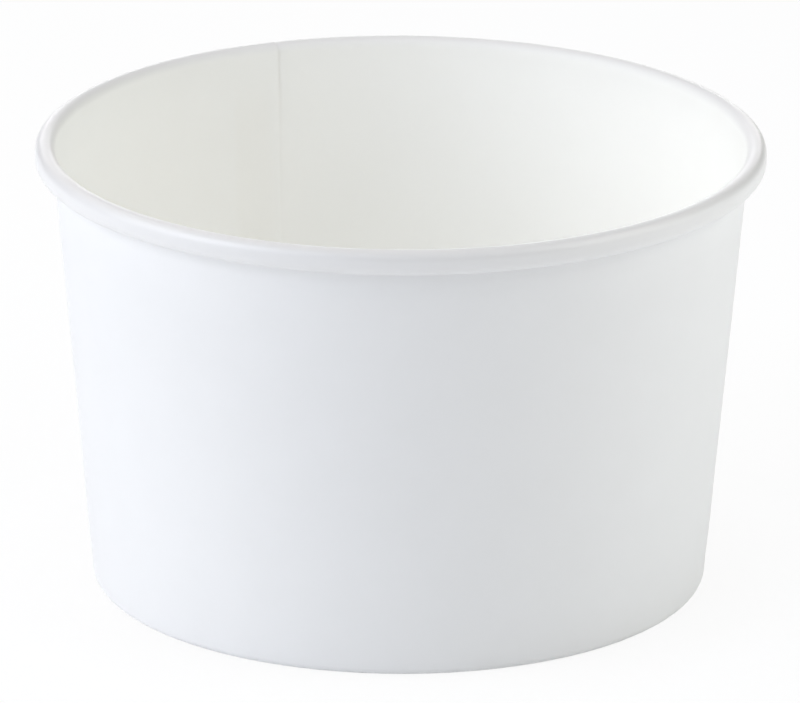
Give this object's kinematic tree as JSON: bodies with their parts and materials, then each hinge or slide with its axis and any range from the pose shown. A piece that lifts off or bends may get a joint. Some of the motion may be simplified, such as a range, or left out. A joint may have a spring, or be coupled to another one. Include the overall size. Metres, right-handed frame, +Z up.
{
  "type": "paper cup",
  "caption": "Short tapered white paper cup with a rolled rim, a lapped side seam, a folded foot and a recessed bottom disc.",
  "frame": {"origin": "centre of the base, at the level of the face it stands on", "axes": "+Z up along the cup's axis, -Y is the front as pictured, the side seam is at the back, left of the middle"},
  "size_m": [0.09, 0.09, 0.0562],
  "materials": {
    "wall_board": "smooth white board, matt",
    "disc_board": "smooth white board, matt"
  },
  "bodies": {
    "root": {"sidewall": "wall_board", "bottom_disc": "disc_board"}
  },
  "joints": []
}
